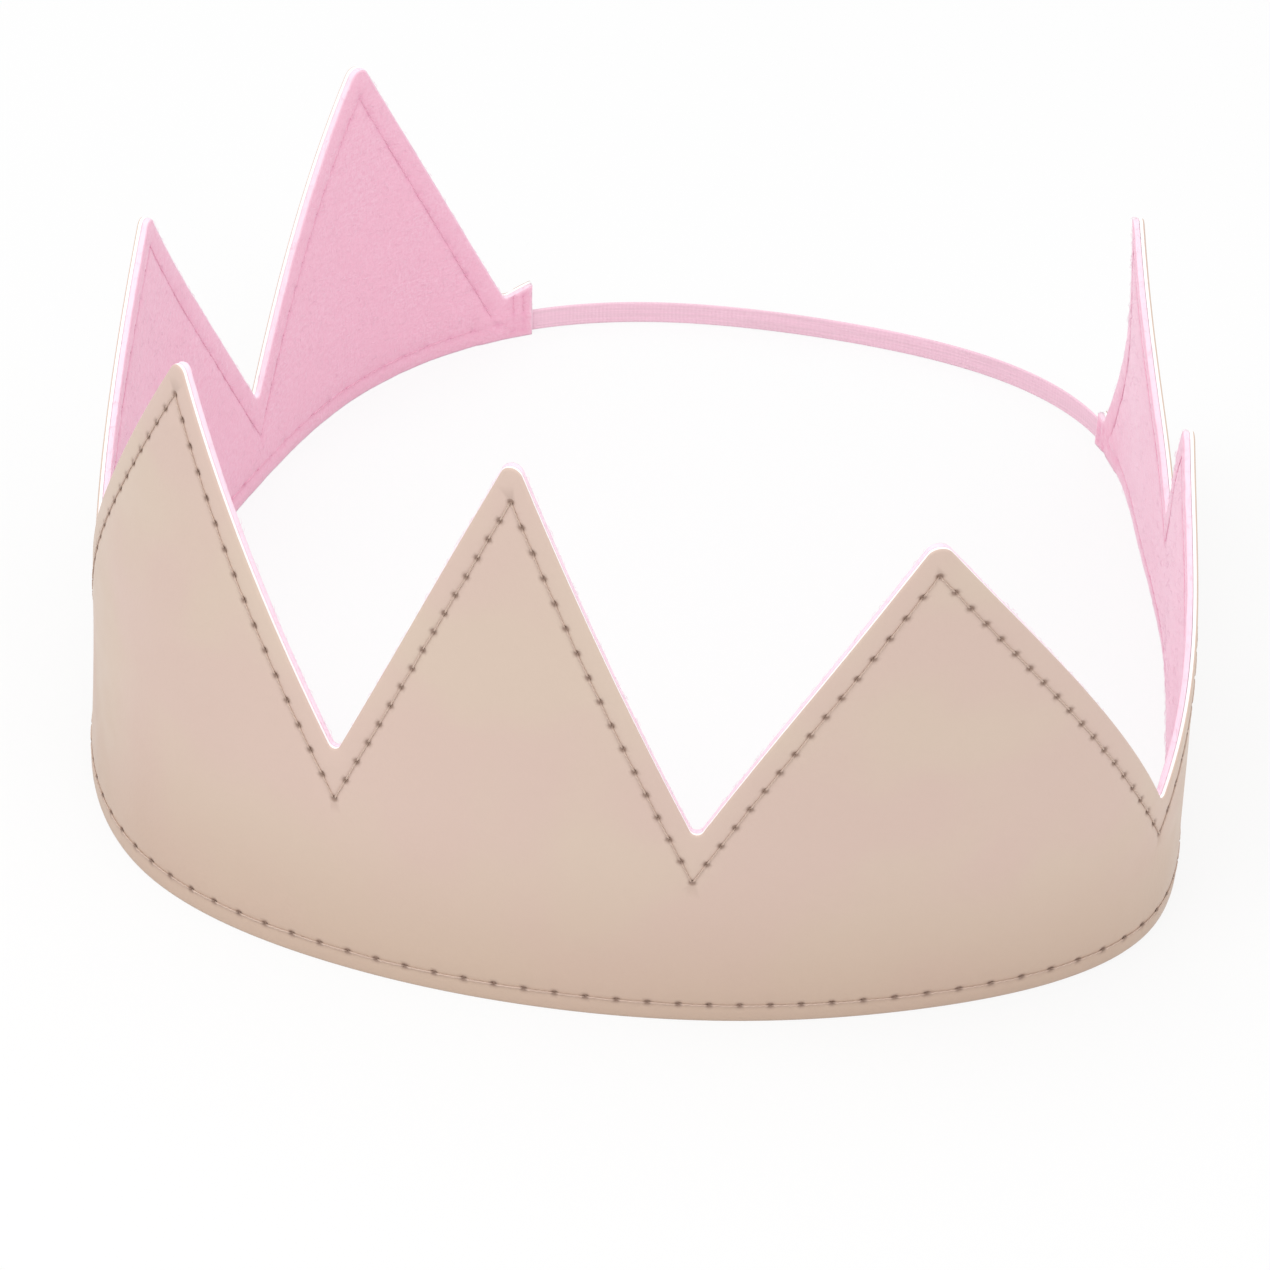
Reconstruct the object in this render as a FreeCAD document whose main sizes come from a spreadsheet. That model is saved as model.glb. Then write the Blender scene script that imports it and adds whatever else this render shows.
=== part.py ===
"""A dress-up crown: a strip of backed leatherette, cut to seven points, lined with felt and stitched
round its edge, bent into an oval loop and closed behind by a narrow elastic.

The strip is drawn flat, as a maker cuts it: along it runs the distance round the loop, and up it runs the
height. The flat outline is then laid on the curved wall. All sizes are millimetres. The crown stands on
its lower edge, +Z is up, and its tallest point faces -Y.
"""
import FreeCAD
import Part

import math
import os
from dataclasses import dataclass

# Sizes of the crown, one spreadsheet row each.
SIZES = (
    ("loop_width", "152", "outer width of the loop at its foot"),
    ("loop_depth", "166", "outer depth of the loop at its foot"),
    ("crown_height", "83.5", "height of the tallest point, d, at the front"),
    ("drop_a", "29.3", "first point, beside the left end, below the crown's height"),
    ("drop_b", "22.5", "second point below the crown's height"),
    ("drop_c", "3.9", "third point below the crown's height"),
    ("drop_d", "0", "middle point below the crown's height"),
    ("drop_e", "4.5", "fifth point below the crown's height"),
    ("drop_f", "23.2", "sixth point below the crown's height"),
    ("drop_g", "28.1", "last point, beside the right end, below the crown's height"),
    ("valley_ab", "14", "height of the valley between points a and b"),
    ("valley_bc", "27.4", "height of the valley between points b and c"),
    ("valley_cd", "33", "height of the valley between points c and d"),
    ("valley_de", "31", "height of the valley between points d and e"),
    ("valley_ef", "22.9", "height of the valley between points e and f"),
    ("valley_fg", "25.8", "height of the valley between points f and g"),
    ("left_notch", "7", "height of the last valley, at the left end"),
    ("left_tab", "8.4", "height of the left end"),
    ("left_tab_length", "4.4", "from the left end to its valley"),
    ("right_notch", "4.6", "height of the last valley, at the right end"),
    ("right_tab", "5.2", "height of the right end"),
    ("right_tab_length", "1.8", "from the right end to its valley"),
    ("point_radius", "1.6", "rounding of the points"),
    ("valley_radius", "1", "rounding of the valleys"),
    ("leatherette", "0.7", "thickness of the leatherette with its backing"),
    ("felt", "0.9", "thickness of the felt lining"),
    ("layer_gap", "0.05", "clearance between pieces that are pressed together"),
    ("elastic_width", "3.4", "width of the elastic"),
    ("elastic_thickness", "0.45", "thickness of the elastic"),
    ("elastic_rise", "0.4", "lower edge of the elastic above the foot"),
    ("elastic_tail", "8", "length of elastic caught between the layers at each end"),
    ("tail_clearance", "0.1", "clearance round the caught elastic"),
    ("seam_inset", "3", "zigzag seam from the cut edge"),
    ("seam_stitch", "3.7", "stitch length of the zigzag seam"),
    ("hem_inset", "2.7", "lower seam from the foot"),
    ("hem_stitch", "4.1", "stitch length of the lower seam"),
    ("end_inset", "1.4", "end seam from the end of the strip, and from the top of the tab"),
    ("second_inset", "3", "second end seam from the end of the strip"),
    ("end_seam_rise", "1.1", "lower end of the end seams above the foot"),
    ("thread_width", "0.45", "width of a stitch"),
    ("thread_height", "0.25", "height that a stitch stands proud"),
    ("stitch_gap", "0.6", "bare length between two stitches, at the needle hole"),
)


@dataclass(frozen=True)
class Station:
    """A place on the foot of the loop: across and along in half widths and half depths, tilt in degrees."""

    name: str
    across: float
    along: float
    tilt: float


# The loop seen from above, from the middle of the elastic round by the left side. A tilt leans outwards.
STATIONS = (
    Station("back", -0.140, 1.005, 0.0),
    Station("left_end", -0.530, 0.898, 0.0),
    Station("a", -0.793, 0.637, 1.3),
    Station("ab", -0.905, 0.320, 3.3),
    Station("b", -0.970, -0.036, 3.4),
    Station("bc", -0.973, -0.459, -0.7),
    Station("c", -0.771, -0.814, -4.6),
    Station("cd", -0.392, -0.969, -4.5),
    Station("d", -0.073, -0.998, -1.9),
    Station("de", 0.264, -0.967, 1.9),
    Station("e", 0.617, -0.856, 4.7),
    Station("ef", 0.988, -0.552, 2.5),
    Station("f", 0.965, -0.179, -1.2),
    Station("fg", 0.886, 0.189, -3.3),
    Station("g", 0.767, 0.527, -3.9),
    Station("right_end", 0.621, 0.821, 0.0),
)


def make_sheet(doc):
    """Keep the driving sizes in a spreadsheet, one alias each."""
    sheet = doc.addObject("Spreadsheet::Sheet", "Sizes")
    for row, (alias, value, meaning) in enumerate(SIZES, start=1):
        sheet.set(f"A{row}", value)
        sheet.setAlias(f"A{row}", alias)
        sheet.set(f"B{row}", meaning)
    doc.recompute()
    return sheet


# The points of the crown from left to right, and the valleys between them.
POINTS = ("a", "b", "c", "d", "e", "f", "g")
VALLEYS = ("ab", "bc", "cd", "de", "ef", "fg")

# How far apart two edges may lie and still be sewn into one.
SEWING_TOLERANCE = 1e-4
LARGEST_TOLERANCE = 1e-3


class Loop:
    """The curved wall: a foot curve and a head curve through the stations, joined by straight rulings.

    Places on it are (along, up, depth): along is the distance round the foot from the first station, up is
    the height, and depth is measured inwards from the outer face.
    """

    RINGS_PER_SPAN = 8
    HEADROOM = 8.0

    def __init__(self, sizes, first):
        names = [station.name for station in STATIONS]
        start = names.index(first)
        order = STATIONS[start:] + STATIONS[:start]
        self.height = sizes.crown_height + self.HEADROOM
        foot = [
            FreeCAD.Vector(s.across * sizes.loop_width / 2, s.along * sizes.loop_depth / 2, 0) for s in order
        ]
        self.marks = [0.0]
        for here, there in zip(foot, foot[1:] + foot[:1]):
            self.marks.append(self.marks[-1] + (there - here).Length)
        self.at = dict(zip([s.name for s in order], self.marks))
        self.length = self.marks[-1]
        self.foot = self.periodic(foot, self.marks)
        head = []
        for station, point, mark in zip(order, foot, self.marks):
            reach = self.height * math.tan(math.radians(station.tilt))
            head.append(point + self.outward(mark) * reach + FreeCAD.Vector(0, 0, self.height))
        self.head = self.periodic(head, self.marks)

    @staticmethod
    def periodic(points, marks):
        """A closed curve through points at the given marks."""
        curve = Part.BSplineCurve()
        curve.interpolate(Points=points, Parameters=marks, PeriodicFlag=True)
        return curve

    def outward(self, along):
        """The level outward direction of the wall."""
        tangent = self.foot.getD1(along % self.length)[1]
        return FreeCAD.Vector(tangent.y, -tangent.x, 0).normalize()

    def point(self, along, up, depth=0.0):
        """A point of the wall."""
        mark = along % self.length
        share = up / self.height
        on_face = self.foot.value(mark) * (1 - share) + self.head.value(mark) * share
        return on_face - self.outward(mark) * depth

    def surface(self, depth):
        """The wall's surface at one depth, with along and up as its two parameters."""
        count = len(STATIONS)
        marks = []
        for here, there in zip(self.marks[:count], self.marks[1:]):
            step = (there - here) / self.RINGS_PER_SPAN
            marks += [here + step * ring for ring in range(self.RINGS_PER_SPAN)]
        closed = marks + [self.length]
        foot = self.periodic([self.point(mark, 0, depth) for mark in marks], closed)
        head = self.periodic([self.point(mark, self.height, depth) for mark in marks], closed)
        rows = [list(pair) for pair in zip(foot.getPoles(), head.getPoles())]
        surface = Part.BSplineSurface()
        surface.buildFromPolesMultsKnots(
            rows, foot.getMultiplicities(), [2, 2], foot.getKnots(), [0.0, self.height],
            True, False, foot.Degree, 1,
        )
        return surface


class Outline:
    """The flat outline of the strip: corners (along, up) with the rounding of each."""

    def __init__(self, sizes, loop):
        self.left = loop.at["left_end"]
        self.right = loop.at["right_end"]
        left_notch = self.left + sizes.left_tab_length
        right_notch = self.right - sizes.right_tab_length
        tops = [(left_notch, sizes.left_notch, -sizes.valley_radius)]
        for name in POINTS:
            tops.append((loop.at[name], sizes.crown_height - sizes.get(f"drop_{name}"), sizes.point_radius))
        tops += [(loop.at[name], sizes.get(f"valley_{name}"), -sizes.valley_radius) for name in VALLEYS]
        tops.append((right_notch, sizes.right_notch, -sizes.valley_radius))
        ends = [(self.left, sizes.left_tab, 0.0), (self.right, sizes.right_tab, 0.0)]
        self.tops = self.sharpened(sorted(tops + ends))

    @staticmethod
    def sharpened(tops):
        """Move each rounded corner out to where its sides meet, so that its rounding ends at its height."""
        corners = [tops[0]]
        for before, here, after in zip(tops, tops[1:], tops[2:]):
            first = math.atan2(abs(here[0] - before[0]), abs(here[1] - before[1]))
            second = math.atan2(abs(after[0] - here[0]), abs(after[1] - here[1]))
            half = (first + second) / 2
            rise = here[2] / math.sin(half) - here[2]
            corners.append((here[0], here[1] + rise, abs(here[2])))
        corners.append(tops[-1])
        return corners

    def edges(self, surface):
        """The outline's sides and roundings laid on a surface of the wall, the foot edge last."""
        corners = [(self.left, 0.0, 0.0)] + self.tops + [(self.right, 0.0, 0.0)]
        count = len(corners)
        turns = [rounded(corners[i - 1], corners[i], corners[(i + 1) % count]) for i in range(count)]
        pieces = []
        for index, (into, middle, out) in enumerate(turns):
            if into != out:
                pieces.append(Part.Geom2d.ArcOfCircle2d(flat(into), flat(middle), flat(out)))
            following = turns[(index + 1) % count][0]
            pieces.append(Part.Geom2d.Line2dSegment(flat(out), flat(following)))
        return [piece.toShape(surface) for piece in pieces]


def flat(place):
    """A place of the flat pattern as a 2D vector."""
    return FreeCAD.Base.Vector2d(place[0], place[1])


def rounded(before, corner, after):
    """Where a corner's rounding starts, its middle and where it ends."""
    to_before = unit(corner, before)
    to_after = unit(corner, after)
    if corner[2] == 0:
        return corner, corner, corner
    cosine = to_before[0] * to_after[0] + to_before[1] * to_after[1]
    half = math.acos(cosine) / 2
    reach = corner[2] / math.tan(half)
    into = (corner[0] + to_before[0] * reach, corner[1] + to_before[1] * reach)
    out = (corner[0] + to_after[0] * reach, corner[1] + to_after[1] * reach)
    inwards = unit((0, 0), (to_before[0] + to_after[0], to_before[1] + to_after[1]))
    drop = corner[2] / math.sin(half) - corner[2]
    middle = (corner[0] + inwards[0] * drop, corner[1] + inwards[1] * drop)
    return into, middle, out


def unit(start, end):
    """The unit direction from one place of the flat pattern to another."""
    along = end[0] - start[0]
    up = end[1] - start[1]
    length = math.hypot(along, up)
    return along / length, up / length


def level_face(near, far):
    """The flat face between two level curves that run side by side."""
    tips = [
        Part.makeLine(near.Vertexes[0].Point, far.Vertexes[0].Point),
        Part.makeLine(near.Vertexes[-1].Point, far.Vertexes[-1].Point),
    ]
    return Part.Face(Part.Wire([near, tips[1], far, tips[0]]))


def cut_sheet(loop, outline, outer, inner):
    """One layer of the strip, between two depths, cut to the outline."""
    near = loop.surface(outer)
    far = loop.surface(inner)
    near_edges = outline.edges(near)
    far_edges = outline.edges(far)
    faces = [Part.Face(near, Part.Wire(near_edges)), Part.Face(far, Part.Wire(far_edges))]
    faces += [Part.makeRuledSurface(one, two) for one, two in zip(near_edges[:-1], far_edges[:-1])]
    faces.append(level_face(near_edges[-1], far_edges[-1]))
    shell = Part.makeShell(faces)
    shell.sewShape()
    solid = Part.Solid(shell)
    solid.fix(SEWING_TOLERANCE, SEWING_TOLERANCE, LARGEST_TOLERANCE)
    return solid


def elastic_plan(loop, outer, inner, tail):
    """The elastic seen from above: a narrow ribbon between two depths, with a tail inside each end."""
    start = loop.at["right_end"] - tail
    end = loop.at["left_end"] + tail
    curves = []
    for depth in (outer, inner):
        count = loop.RINGS_PER_SPAN * 4
        marks = [start + (end - start) * step / count for step in range(count + 1)]
        curve = Part.BSplineCurve()
        curve.interpolate(Points=[loop.point(mark, 0, depth) for mark in marks])
        curves.append(curve.toShape())
    return level_face(*curves)


def inset_tops(sizes, outline):
    """The zigzag seam: the outline's top moved down into the sheet by the seam's inset."""
    places = outline.tops
    sides = []
    for here, there in zip(places, places[1:]):
        along, up = unit(here, there)
        shift = (up * sizes.seam_inset, -along * sizes.seam_inset)
        sides.append(((here[0] + shift[0], here[1] + shift[1]), (along, up)))
    corners = []
    for (one, first), (two, second) in zip(sides, sides[1:]):
        cross = first[0] * second[1] - first[1] * second[0]
        reach = ((two[0] - one[0]) * second[1] - (two[1] - one[1]) * second[0]) / cross
        corners.append((one[0] + first[0] * reach, one[1] + first[1] * reach))
    return corners


def seams(sizes, outline):
    """Every straight run of stitching as its two ends and its stitch length."""
    zigzag = inset_tops(sizes, outline)
    runs = [(here, there, sizes.seam_stitch) for here, there in zip(zigzag, zigzag[1:])]
    hem_left = (outline.left + sizes.end_inset, sizes.hem_inset)
    hem_right = (outline.right - sizes.end_inset, sizes.hem_inset)
    runs.append((hem_left, hem_right, sizes.hem_stitch))
    for end, tab, way in ((outline.left, sizes.left_tab, 1), (outline.right, sizes.right_tab, -1)):
        top = tab - sizes.end_inset
        for inset in (sizes.end_inset, sizes.second_inset):
            along = end + way * inset
            runs.append(((along, sizes.end_seam_rise), (along, top), sizes.seam_stitch))
    return runs


def stitch(loop, sizes, start, end, depth, side):
    """One stitch: a small bar along the wall between two needle holes."""
    middle = ((start[0] + end[0]) / 2, (start[1] + end[1]) / 2)
    places = [loop.point(place[0], place[1], depth) for place in (start, middle, end)]
    chord = places[2] - places[0]
    away = loop.outward(middle[0]) * side
    tangent = chord.normalize()
    width_way = away.cross(tangent).normalize()
    away = tangent.cross(width_way).normalize()
    length = (places[2] - places[0]).Length - sizes.stitch_gap
    seat = max((place - places[1]).dot(away) for place in places) + sizes.layer_gap
    bar = Part.makeBox(length, sizes.thread_width, sizes.thread_height)
    corner = places[1] + away * seat - tangent * (length / 2) - width_way * (sizes.thread_width / 2)
    turn = FreeCAD.Matrix(
        tangent.x, width_way.x, away.x, corner.x,
        tangent.y, width_way.y, away.y, corner.y,
        tangent.z, width_way.z, away.z, corner.z,
        0, 0, 0, 1,
    )
    bar.Placement = FreeCAD.Placement(turn)
    return bar


def stitching(loop, sizes, outline, depth, side):
    """Every stitch that lies on one face of the strip."""
    bars = []
    for start, end, length in seams(sizes, outline):
        run = math.hypot(end[0] - start[0], end[1] - start[1])
        count = max(1, round(run / length))
        holes = [
            (start[0] + (end[0] - start[0]) * step / count, start[1] + (end[1] - start[1]) * step / count)
            for step in range(count + 1)
        ]
        bars += [stitch(loop, sizes, here, there, depth, side) for here, there in zip(holes, holes[1:])]
    return Part.makeCompound(bars)


class Sizes:
    """The spreadsheet's values, read by their aliases."""

    def __init__(self, sheet):
        self.sheet = sheet

    def get(self, alias):
        """One size in millimetres."""
        return float(self.sheet.get(alias))

    def __getattr__(self, alias):
        return self.get(alias)


def add_shape(doc, label, shape):
    """Add one solid part of the crown to the document."""
    feature = doc.addObject("Part::Feature", label)
    feature.Shape = shape
    feature.Placement = FreeCAD.Placement()
    feature.Label = label
    return feature


def add_ribbon(doc, name, plan, rise, width):
    """A ribbon on edge: a plan face raised by one expression and drawn up by another."""
    base = doc.addObject("Part::Feature", f"{name}_plan")
    base.Shape = plan
    ribbon = doc.addObject("Part::Extrusion", name)
    ribbon.Base = base
    ribbon.DirMode = "Custom"
    ribbon.Dir = FreeCAD.Vector(0, 0, 1)
    ribbon.Solid = True
    ribbon.setExpression("LengthFwd", width)
    ribbon.setExpression("Placement.Base.z", rise)
    ribbon.Label = name
    return ribbon


def build(doc):
    """Build every piece and return the objects to write."""
    sizes = Sizes(make_sheet(doc))
    loop = Loop(sizes, "back")
    outline = Outline(sizes, loop)
    lining_face = sizes.leatherette + sizes.layer_gap
    lining_back = lining_face + sizes.felt

    outer_shell = add_shape(doc, "outer_shell", cut_sheet(loop, outline, 0, sizes.leatherette))

    behind = Loop(sizes, "d")
    near = sizes.leatherette + sizes.tail_clearance
    far = near + sizes.elastic_thickness
    plan = elastic_plan(behind, near, far, sizes.elastic_tail)
    elastic = add_ribbon(doc, "elastic_band", plan, "Sizes.elastic_rise", "Sizes.elastic_width")

    room = sizes.tail_clearance
    pocket_plan = elastic_plan(behind, near - 2 * room, far + room, sizes.elastic_tail + room)
    pocket = add_ribbon(
        doc, "elastic_pocket", pocket_plan,
        "Sizes.elastic_rise - Sizes.tail_clearance", "Sizes.elastic_width + 2 * Sizes.tail_clearance",
    )
    felt_sheet = doc.addObject("Part::Feature", "felt_sheet")
    felt_sheet.Shape = cut_sheet(loop, outline, lining_face, lining_back)
    lining = doc.addObject("Part::Cut", "felt_lining")
    lining.Base = felt_sheet
    lining.Tool = pocket
    lining.Label = "felt_lining"

    needle = add_shape(doc, "needle_thread", stitching(loop, sizes, outline, 0, 1))
    bobbin = add_shape(doc, "bobbin_thread", stitching(loop, sizes, outline, lining_back, -1))
    doc.recompute()
    return [outer_shell, lining, elastic, needle, bobbin]


def check(doc, parts):
    """Stop if any object failed, or any part has no sound shape."""
    for item in doc.Objects:
        if "Invalid" in item.State or "Error" in item.State:
            raise RuntimeError(f"{item.Label} did not compute: {item.State}")
    for item in parts:
        if item.Shape.isNull() or not item.Shape.isValid() or not item.Shape.Solids:
            raise RuntimeError(f"{item.Label} has no sound shape")


def main():
    """Build the crown, check it and write one file for each part."""
    doc = FreeCAD.newDocument("Crown")
    parts = build(doc)
    check(doc, parts)
    os.makedirs("parts", exist_ok=True)
    for item in parts:
        item.Shape.exportStep(os.path.join("parts", f"{item.Label}.step"))
        box = item.Shape.BoundBox
        print(f"{item.Label}: {len(item.Shape.Solids)} solids, {box}")


main()
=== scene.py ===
"""Looks of the dress-up crown: a strip of backed leatherette with seven points, lined with pink felt.

The two layers are stitched together round every edge, and a narrow elastic closes the loop behind. Both
layers are drawn on one flat pattern, along the strip and up it in millimetres, and laid on the curved wall.
"""
import logging
import math
from dataclasses import dataclass
from enum import Enum
from typing import ClassVar, Iterable, Sequence

import bpy
import numpy as np
from mathutils import Matrix, Vector, kdtree, noise
from mathutils.geometry import delaunay_2d_cdt


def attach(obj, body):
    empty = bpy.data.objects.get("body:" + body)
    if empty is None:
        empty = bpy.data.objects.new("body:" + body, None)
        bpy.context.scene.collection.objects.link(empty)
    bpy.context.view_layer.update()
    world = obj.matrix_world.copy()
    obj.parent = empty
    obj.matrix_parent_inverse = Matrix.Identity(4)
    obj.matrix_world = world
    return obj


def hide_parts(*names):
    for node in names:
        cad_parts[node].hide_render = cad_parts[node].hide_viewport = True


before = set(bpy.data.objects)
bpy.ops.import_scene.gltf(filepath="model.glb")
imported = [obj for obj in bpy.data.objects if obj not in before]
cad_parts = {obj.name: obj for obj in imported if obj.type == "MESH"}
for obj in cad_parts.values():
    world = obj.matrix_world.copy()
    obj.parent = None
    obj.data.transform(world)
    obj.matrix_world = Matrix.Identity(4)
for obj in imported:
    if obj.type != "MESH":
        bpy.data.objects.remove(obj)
LOG = logging.getLogger("crown")
MM = 0.001


# Shape of the wall.

class PeriodicSpline:
    """A smooth closed curve through points at given marks."""

    def __init__(self, marks: np.ndarray, points: np.ndarray) -> None:
        """Fit the curve.

        Args:
            marks: the distance at which each point is passed, and the whole length last.
            points: one row for each point.
        """
        self.marks = marks
        self.points = np.vstack([points, points[:1]])
        steps = np.diff(marks)
        count = len(points)
        rows = np.zeros((count, count))
        pulls = np.zeros_like(points)
        for here in range(count):
            after = (here + 1) % count
            rows[here, here - 1] += steps[here - 1]
            rows[here, here] += 2 * (steps[here - 1] + steps[here])
            rows[here, after] += steps[here]
            rise = (points[after] - points[here]) / steps[here]
            fall = (points[here] - points[here - 1]) / steps[here - 1]
            pulls[here] = 6 * (rise - fall)
        bends = np.linalg.solve(rows, pulls)
        self.bends = np.vstack([bends, bends[:1]])

    def at(self, marks: np.ndarray) -> tuple[np.ndarray, np.ndarray]:
        """Points and slopes of the curve.

        Args:
            marks: distances along it.

        Returns:
            The points, and the slope at each.
        """
        marks = np.mod(marks, self.marks[-1])
        span = np.clip(np.searchsorted(self.marks, marks, side="right") - 1, 0, len(self.marks) - 2)
        step = (self.marks[span + 1] - self.marks[span])[:, None]
        left = (self.marks[span + 1] - marks)[:, None] / step
        right = 1 - left
        bow = (left**3 - left) * self.bends[span] + (right**3 - right) * self.bends[span + 1]
        places = left * self.points[span] + right * self.points[span + 1] + bow * step**2 / 6
        tilt = (3 * right**2 - 1) * self.bends[span + 1] - (3 * left**2 - 1) * self.bends[span]
        slopes = (self.points[span + 1] - self.points[span]) / step + tilt * step / 6
        return places, slopes


@dataclass(frozen=True)
class Station:
    """A place on the foot of the loop: across and along in half widths and half depths, tilt in degrees."""

    name: str
    across: float
    along: float
    tilt: float


@dataclass
class Wall:
    """The curved wall that both layers follow: a foot curve and a head curve joined by straight rulings."""

    width: float = 152.0
    depth: float = 166.0
    height: float = 91.5
    sway: float = 0.32
    firm_height: float = 22.0
    slow_wave: tuple[float, float] = (17.0, 23.0)
    quick_wave: tuple[float, float] = (7.3, 15.0)
    quick_share: float = 0.45
    stations: tuple[Station, ...] = (
        Station("back", -0.140, 1.005, 0.0),
        Station("left_end", -0.530, 0.898, 0.0),
        Station("a", -0.793, 0.637, 1.3),
        Station("ab", -0.905, 0.320, 3.3),
        Station("b", -0.970, -0.036, 3.4),
        Station("bc", -0.973, -0.459, -0.7),
        Station("c", -0.771, -0.814, -4.6),
        Station("cd", -0.392, -0.969, -4.5),
        Station("d", -0.073, -0.998, -1.9),
        Station("de", 0.264, -0.967, 1.9),
        Station("e", 0.617, -0.856, 4.7),
        Station("ef", 0.988, -0.552, 2.5),
        Station("f", 0.965, -0.179, -1.2),
        Station("fg", 0.886, 0.189, -3.3),
        Station("g", 0.767, 0.527, -3.9),
        Station("right_end", 0.621, 0.821, 0.0),
    )

    def __post_init__(self) -> None:
        """Fit the foot and head curves."""
        foot = np.array([(s.across * self.width / 2, s.along * self.depth / 2, 0.0) for s in self.stations])
        chords = np.linalg.norm(np.roll(foot, -1, axis=0) - foot, axis=1)
        marks = np.concatenate([[0.0], np.cumsum(chords)])
        self.length = float(marks[-1])
        self.mark = {s.name: float(m) for s, m in zip(self.stations, marks)}
        self.foot = PeriodicSpline(marks, foot)
        tilts = np.radians([s.tilt for s in self.stations])
        lean = self.outward(marks[:-1]) * (self.height * np.tan(tilts))[:, None]
        self.head = PeriodicSpline(marks, foot + lean + (0.0, 0.0, self.height))

    def outward(self, along: np.ndarray) -> np.ndarray:
        """The level outward direction at each distance along the wall."""
        slope = self.foot.at(np.asarray(along, float))[1]
        away = np.stack([slope[:, 1], -slope[:, 0], np.zeros(len(slope))], axis=1)
        return away / np.linalg.norm(away, axis=1)[:, None]

    def drift(self, along: np.ndarray, up: np.ndarray) -> np.ndarray:
        """The soft unevenness of hand-bent cloth, in millimetres outwards; none at the foot."""
        hold = np.clip(up / self.firm_height, 0, 1)
        slow = np.sin(along / self.slow_wave[0] + 0.9) * np.cos(up / self.slow_wave[1] + 0.4)
        quick = self.quick_share * np.sin(along / self.quick_wave[0] + up / self.quick_wave[1] + 2.1)
        return self.sway * hold * (slow + quick)

    def place(self, along: np.ndarray, up: np.ndarray, depth: np.ndarray) -> np.ndarray:
        """Points of the wall in metres.

        Args:
            along: distance round the foot, in millimetres.
            up: height on the wall, in millimetres.
            depth: distance inwards from the outer face, in millimetres.

        Returns:
            One row for each point.
        """
        share = (up / self.height)[:, None]
        on_face = self.foot.at(along)[0] * (1 - share) + self.head.at(along)[0] * share
        inwards = (depth - self.drift(along, up))[:, None]
        return (on_face - self.outward(along) * inwards) * MM

    def facing(self, along: np.ndarray, up: np.ndarray) -> np.ndarray:
        """The wall's outward normal at places of it."""
        zero = np.zeros_like(along)
        step = 0.2
        level = self.place(along + step, up, zero) - self.place(along - step, up, zero)
        steep = self.place(along, up + step, zero) - self.place(along, up - step, zero)
        away = np.cross(level, steep)
        return away / np.linalg.norm(away, axis=1)[:, None]


# Flat pattern.

@dataclass
class Pattern:
    """The strip's flat outline: corners along and up, in millimetres, with the rounding of each."""

    wall: Wall
    points: tuple[tuple[str, float], ...] = (
        ("a", 54.2), ("b", 61.0), ("c", 79.6), ("d", 83.5), ("e", 79.0), ("f", 60.3), ("g", 55.4),
    )
    valleys: tuple[tuple[str, float], ...] = (
        ("ab", 14.0), ("bc", 27.4), ("cd", 33.0), ("de", 31.0), ("ef", 22.9), ("fg", 25.8),
    )
    left_tab: float = 8.4
    left_notch: float = 7.0
    left_tab_length: float = 4.4
    right_tab: float = 5.2
    right_notch: float = 4.6
    right_tab_length: float = 1.8
    point_radius: float = 1.6
    valley_radius: float = 1.0
    ARC_STEP: ClassVar[float] = 0.3

    def __post_init__(self) -> None:
        """Sort the corners and move each rounded one out to where its two sides meet."""
        mark = self.wall.mark
        self.left, self.right = mark["left_end"], mark["right_end"]
        tops = [(self.left + self.left_tab_length, self.left_notch, -self.valley_radius)]
        tops += [(mark[name], up, self.point_radius) for name, up in self.points]
        tops += [(mark[name], up, -self.valley_radius) for name, up in self.valleys]
        tops.append((self.right - self.right_tab_length, self.right_notch, -self.valley_radius))
        tops += [(self.left, self.left_tab, 0.0), (self.right, self.right_tab, 0.0)]
        tops.sort()
        corners = [tops[0]]
        for before, here, after in zip(tops, tops[1:], tops[2:]):
            first = math.atan2(abs(here[0] - before[0]), abs(here[1] - before[1]))
            second = math.atan2(abs(after[0] - here[0]), abs(after[1] - here[1]))
            rise = here[2] / math.sin((first + second) / 2) - here[2]
            corners.append((here[0], here[1] + rise, abs(here[2])))
        self.tops = corners + [tops[-1]]

    def boundary(self, step: float) -> np.ndarray:
        """The closed outline, counter-clockwise.

        Args:
            step: the longest distance between two points on a straight side.

        Returns:
            One row (along, up) for each point.
        """
        corners = [(self.left, 0.0, 0.0), (self.right, 0.0, 0.0)] + self.tops[::-1]
        count = len(corners)
        turns = [self.turn(corners[i - 1], corners[i], corners[(i + 1) % count]) for i in range(count)]
        rows: list[np.ndarray] = []
        for index, arc in enumerate(turns):
            rows.append(arc)
            start, end = arc[-1], turns[(index + 1) % count][0]
            pieces = max(1, math.ceil(np.linalg.norm(end - start) / step))
            shares = np.arange(1, pieces)[:, None] / pieces
            rows.append(start + (end - start) * shares)
        return np.vstack(rows)

    @classmethod
    def turn(cls, before: Sequence[float], corner: Sequence[float], after: Sequence[float]) -> np.ndarray:
        """The points of one rounded corner, or the corner itself where it is sharp."""
        middle = np.array(corner[:2])
        radius = corner[2]
        if radius == 0:
            return middle[None, :]
        back = np.array(before[:2]) - middle
        on = np.array(after[:2]) - middle
        back /= np.linalg.norm(back)
        on /= np.linalg.norm(on)
        half = math.acos(float(back @ on)) / 2
        inwards = (back + on) / np.linalg.norm(back + on)
        centre = middle + inwards * radius / math.sin(half)
        reach = radius / math.tan(half)
        start, end = middle + back * reach - centre, middle + on * reach - centre
        sweep = math.pi - 2 * half
        steps = max(3, math.ceil(sweep * radius / cls.ARC_STEP))
        shares = np.linspace(0, 1, steps + 1)[:, None]
        spoke = np.sin((1 - shares) * sweep) * start + np.sin(shares * sweep) * end
        return centre + spoke / math.sin(sweep)


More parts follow.
